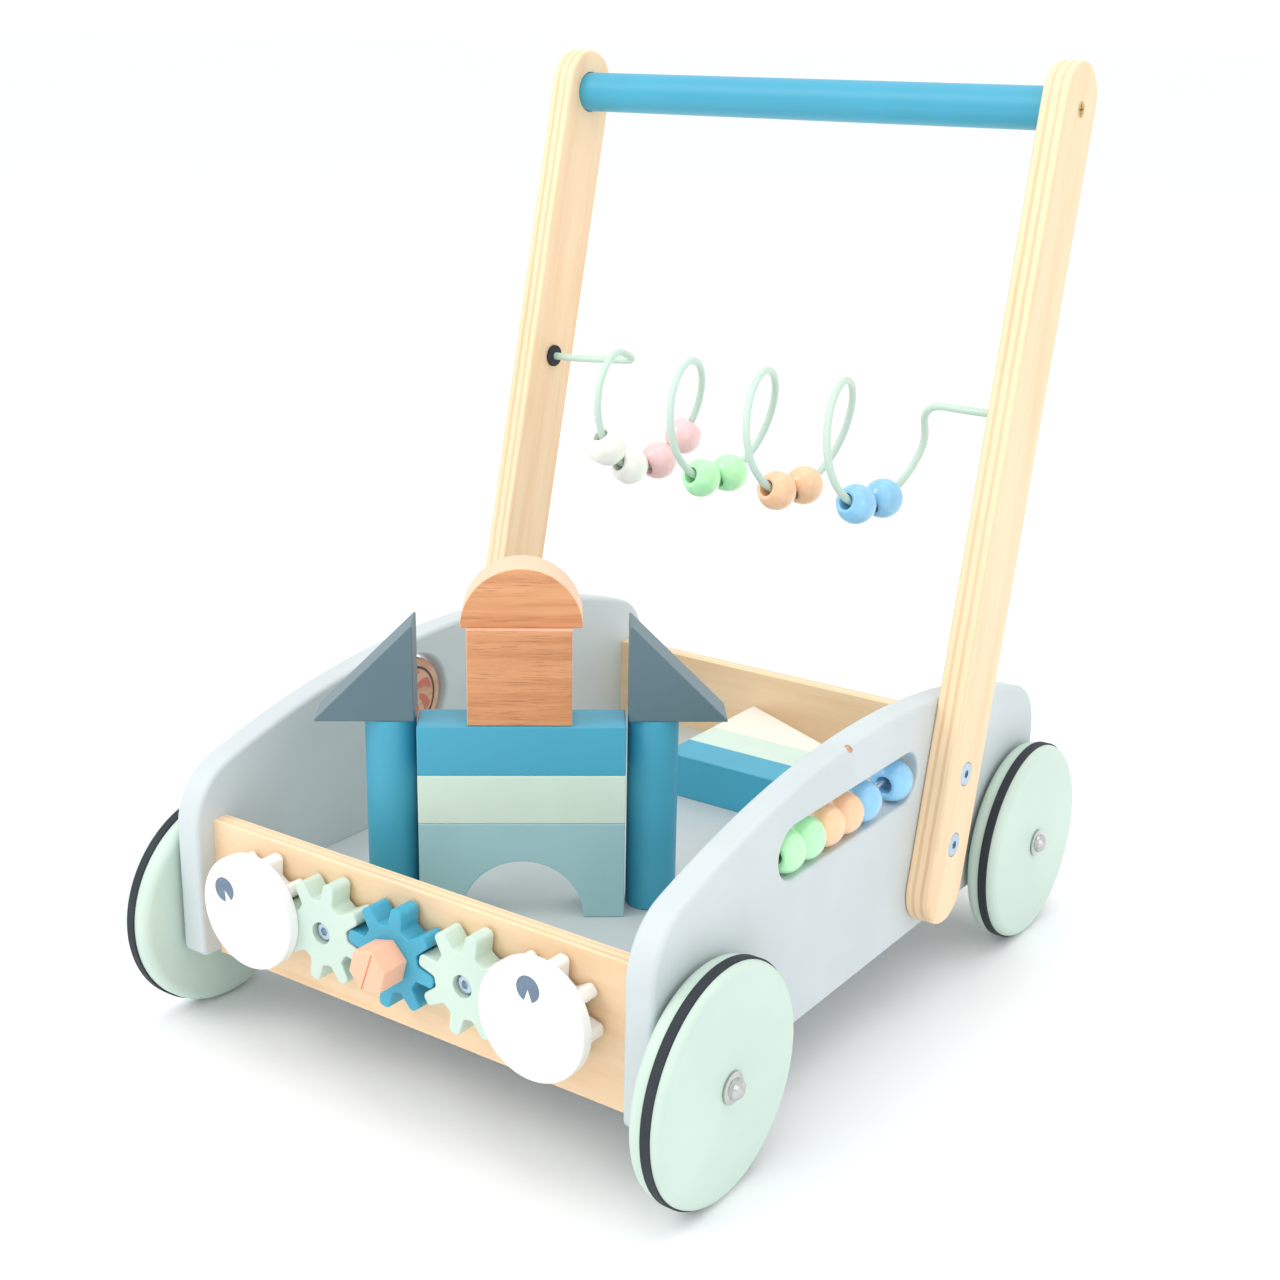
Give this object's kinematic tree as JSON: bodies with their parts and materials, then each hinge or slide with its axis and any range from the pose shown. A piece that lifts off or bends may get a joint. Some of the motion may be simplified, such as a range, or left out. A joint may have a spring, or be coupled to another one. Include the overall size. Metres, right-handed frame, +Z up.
{
  "type": "baby walker",
  "caption": "Wooden push-along walker with a block tray, four wheels, a leaning handle, turning gears, sliding beads and a coiled bead wire.",
  "frame": {"origin": "on the ground under the middle of the whole walker's box", "axes": "+Z up, -Y towards the gear face at the front, +X towards the side with the bead slot"},
  "size_m": [0.3364, 0.4308, 0.4748],
  "materials": {
    "panel_grey": "satin grey lacquer on a wooden board",
    "tray_lacquer": "pale satin lacquer on board",
    "plywood": "clear varnished birch plywood with layered edges",
    "plain_wood": "smooth clear varnished beech",
    "hardwood": "oiled hardwood with long straight grain",
    "mint_lacquer": "satin mint lacquer on wood",
    "blue_lacquer": "satin blue lacquer on wood",
    "slate_lacquer": "satin slate lacquer on wood",
    "arch_lacquer": "satin grey-blue lacquer on wood",
    "cream_lacquer": "satin cream lacquer on wood",
    "coral_lacquer": "satin coral lacquer on wood",
    "white_lacquer": "satin white lacquer on wood with a printed dot",
    "bead_green": "glossy lacquered bead",
    "bead_orange": "glossy lacquered bead",
    "bead_blue": "glossy lacquered bead",
    "bead_pink": "glossy lacquered bead",
    "bead_white": "glossy lacquered bead",
    "black_rubber": "matt black rubber",
    "coated_wire": "steel wire in a pale mint coating",
    "axle_steel": "bright drawn steel",
    "zinc_steel": "zinc plated steel",
    "chrome_cap": "polished chrome",
    "brass_screw": "yellow passivated screw"
  },
  "bodies": {
    "walker_body": {"side_panel_left": "panel_grey", "side_panel_right": "panel_grey", "front_panel": "plywood", "back_panel": "plywood", "floor_panel": "tray_lacquer", "panel_screws": "zinc_steel", "handle_post_left": "plywood", "handle_post_right": "plywood", "handle_bar": "blue_lacquer", "handle_screws": "brass_screw", "post_bolts": "zinc_steel", "post_nuts": "zinc_steel", "axles": "axle_steel", "axle_caps": "chrome_cap", "wheel_spacers": "axle_steel", "slot_rod": "axle_steel", "spinner_rod": "axle_steel", "bead_wire": "coated_wire", "wire_grommets": "black_rubber", "gear_pins": "zinc_steel"},
    "front_left_wheel": {"wheel_front_left": "mint_lacquer", "tyre_ring_front_left": "black_rubber"},
    "front_right_wheel": {"wheel_front_right": "mint_lacquer", "tyre_ring_front_right": "black_rubber"},
    "rear_left_wheel": {"wheel_rear_left": "mint_lacquer", "tyre_ring_rear_left": "black_rubber"},
    "rear_right_wheel": {"wheel_rear_right": "mint_lacquer", "tyre_ring_rear_right": "black_rubber"},
    "middle_gear": {"gear_blue": "blue_lacquer", "gear_knob": "coral_lacquer"},
    "left_mint_gear": {"gear_mint_left": "mint_lacquer"},
    "right_mint_gear": {"gear_mint_right": "mint_lacquer"},
    "left_eye_gear": {"gear_eye_left": "white_lacquer", "eye_disc_left": "white_lacquer"},
    "right_eye_gear": {"gear_eye_right": "white_lacquer", "eye_disc_right": "white_lacquer"},
    "slot_bead_1_body": {"slot_bead_1": "bead_green"},
    "slot_bead_2_body": {"slot_bead_2": "bead_green"},
    "slot_bead_3_body": {"slot_bead_3": "bead_orange"},
    "slot_bead_4_body": {"slot_bead_4": "bead_orange"},
    "slot_bead_5_body": {"slot_bead_5": "bead_blue"},
    "slot_bead_6_body": {"slot_bead_6": "bead_blue"},
    "white_wire_beads": {"wire_beads_white": "bead_white"},
    "pink_wire_beads": {"wire_beads_pink": "bead_pink"},
    "green_wire_beads": {"wire_beads_green": "bead_green"},
    "orange_wire_beads": {"wire_beads_orange": "bead_orange"},
    "blue_wire_beads": {"wire_beads_blue": "bead_blue"},
    "spinner": {"spinner_disc": "plain_wood"},
    "arch_block": {"block_arch": "arch_lacquer"},
    "mint_plank": {"block_plank_mint": "mint_lacquer"},
    "blue_plank": {"block_plank_blue": "blue_lacquer"},
    "square_block": {"block_square": "hardwood"},
    "half_round_block": {"block_half_round": "hardwood"},
    "left_column": {"block_column_left": "blue_lacquer"},
    "left_triangle": {"block_triangle_left": "slate_lacquer"},
    "right_column": {"block_column_right": "blue_lacquer"},
    "right_triangle": {"block_triangle_right": "slate_lacquer"},
    "rear_blue_block": {"rear_block_blue": "blue_lacquer"},
    "rear_mint_block": {"rear_block_mint": "mint_lacquer"},
    "rear_wedge_block": {"rear_block_wedge": "cream_lacquer"}
  },
  "joints": [
    {"name": "front_left_wheel_spin", "type": "hinge", "parent": "walker_body", "child": "front_left_wheel", "pos_m": [-0.1537, -0.1595, 0.0559], "axis": [1, 0, 0], "continuous": true},
    {"name": "front_right_wheel_spin", "type": "hinge", "parent": "walker_body", "child": "front_right_wheel", "pos_m": [0.1537, -0.1595, 0.0559], "axis": [1, 0, 0], "continuous": true},
    {"name": "rear_left_wheel_spin", "type": "hinge", "parent": "walker_body", "child": "rear_left_wheel", "pos_m": [-0.1537, 0.1595, 0.0559], "axis": [1, 0, 0], "continuous": true},
    {"name": "rear_right_wheel_spin", "type": "hinge", "parent": "walker_body", "child": "rear_right_wheel", "pos_m": [0.1537, 0.1595, 0.0559], "axis": [1, 0, 0], "continuous": true},
    {"name": "middle_gear_turn", "type": "hinge", "parent": "walker_body", "child": "middle_gear", "pos_m": [0, -0.1895, 0.081], "axis": [0, 1, 0], "continuous": true},
    {"name": "left_mint_gear_turn", "type": "hinge", "parent": "walker_body", "child": "left_mint_gear", "pos_m": [-0.043, -0.1895, 0.081], "axis": [0, 1, 0], "continuous": true},
    {"name": "right_mint_gear_turn", "type": "hinge", "parent": "walker_body", "child": "right_mint_gear", "pos_m": [0.043, -0.1895, 0.081], "axis": [0, 1, 0], "continuous": true},
    {"name": "left_eye_gear_turn", "type": "hinge", "parent": "walker_body", "child": "left_eye_gear", "pos_m": [-0.086, -0.1895, 0.081], "axis": [0, 1, 0], "continuous": true},
    {"name": "right_eye_gear_turn", "type": "hinge", "parent": "walker_body", "child": "right_eye_gear", "pos_m": [0.086, -0.1895, 0.081], "axis": [0, 1, 0], "continuous": true},
    {"name": "slot_bead_1_slide", "type": "slide", "parent": "walker_body", "child": "slot_bead_1_body", "axis": [0, 1, 0], "range_m": [-0.0032, 0]},
    {"name": "slot_bead_2_slide", "type": "slide", "parent": "slot_bead_1_body", "child": "slot_bead_2_body", "axis": [0, 1, 0], "range_m": [0, 0.002]},
    {"name": "slot_bead_3_slide", "type": "slide", "parent": "slot_bead_2_body", "child": "slot_bead_3_body", "axis": [0, 1, 0], "range_m": [0, 0.002]},
    {"name": "slot_bead_4_slide", "type": "slide", "parent": "slot_bead_3_body", "child": "slot_bead_4_body", "axis": [0, 1, 0], "range_m": [0, 0.002]},
    {"name": "slot_bead_5_slide", "type": "slide", "parent": "slot_bead_4_body", "child": "slot_bead_5_body", "axis": [0, 1, 0], "range_m": [0, 0.002]},
    {"name": "slot_bead_6_slide", "type": "slide", "parent": "walker_body", "child": "slot_bead_6_body", "axis": [0, 1, 0], "range_m": [-0.004, 0.0012]},
    {"name": "white_wire_beads_slip", "type": "hinge", "parent": "walker_body", "child": "white_wire_beads", "pos_m": [-0.07023, 0.09915, 0.28211], "axis": [0.9803, -0.1884, 0.0588], "range_deg": [-15, 0]},
    {"name": "pink_wire_beads_slip", "type": "hinge", "parent": "walker_body", "child": "pink_wire_beads", "pos_m": [-0.05989, 0.09668, 0.2828], "axis": [0.955, -0.1835, -0.2331], "range_deg": [0, 15]},
    {"name": "green_wire_beads_slip", "type": "hinge", "parent": "walker_body", "child": "green_wire_beads", "pos_m": [-0.01657, 0.0982, 0.28273], "axis": [0.9674, -0.2371, -0.0891], "range_deg": [-15, 15]},
    {"name": "orange_wire_beads_slip", "type": "hinge", "parent": "walker_body", "child": "orange_wire_beads", "pos_m": [0.03193, 0.0982, 0.28273], "axis": [0.9674, -0.2371, -0.0891], "range_deg": [-15, 15]},
    {"name": "blue_wire_beads_slip", "type": "hinge", "parent": "walker_body", "child": "blue_wire_beads", "pos_m": [0.08043, 0.0982, 0.28273], "axis": [0.9674, -0.2371, -0.0891], "range_deg": [-15, 15]},
    {"name": "spinner_turn", "type": "hinge", "parent": "walker_body", "child": "spinner", "pos_m": [-0.1355, -0.0305, 0.132], "axis": [0, 0, 1], "continuous": true},
    {"name": "arch_block_lift", "type": "slide", "parent": "walker_body", "child": "arch_block", "axis": [0, 0, 1], "range_m": [0, 0.06]},
    {"name": "mint_plank_lift", "type": "slide", "parent": "arch_block", "child": "mint_plank", "axis": [0, 0, 1], "range_m": [0, 0.06]},
    {"name": "blue_plank_lift", "type": "slide", "parent": "mint_plank", "child": "blue_plank", "axis": [0, 0, 1], "range_m": [0, 0.06]},
    {"name": "square_block_lift", "type": "slide", "parent": "blue_plank", "child": "square_block", "axis": [0, 0, 1], "range_m": [0, 0.06]},
    {"name": "half_round_block_lift", "type": "slide", "parent": "square_block", "child": "half_round_block", "axis": [0, 0, 1], "range_m": [0, 0.06]},
    {"name": "left_column_lift", "type": "slide", "parent": "walker_body", "child": "left_column", "axis": [0, 0, 1], "range_m": [0, 0.06]},
    {"name": "left_triangle_lift", "type": "slide", "parent": "left_column", "child": "left_triangle", "axis": [0, 0, 1], "range_m": [0, 0.06]},
    {"name": "right_column_lift", "type": "slide", "parent": "walker_body", "child": "right_column", "axis": [0, 0, 1], "range_m": [0, 0.06]},
    {"name": "right_triangle_lift", "type": "slide", "parent": "right_column", "child": "right_triangle", "axis": [0, 0, 1], "range_m": [0, 0.06]},
    {"name": "rear_blue_block_lift", "type": "slide", "parent": "walker_body", "child": "rear_blue_block", "axis": [0, 0, 1], "range_m": [0, 0.06]},
    {"name": "rear_mint_block_lift", "type": "slide", "parent": "walker_body", "child": "rear_mint_block", "axis": [0, 0, 1], "range_m": [0, 0.06]},
    {"name": "rear_wedge_block_lift", "type": "slide", "parent": "walker_body", "child": "rear_wedge_block", "axis": [0, 0, 1], "range_m": [0, 0.06]}
  ],
  "couplings": [
    {"joint": "left_mint_gear_turn", "follows": "middle_gear_turn", "ratio": -1},
    {"joint": "right_mint_gear_turn", "follows": "middle_gear_turn", "ratio": -1},
    {"joint": "left_eye_gear_turn", "follows": "middle_gear_turn", "ratio": 1},
    {"joint": "right_eye_gear_turn", "follows": "middle_gear_turn", "ratio": 1}
  ]
}
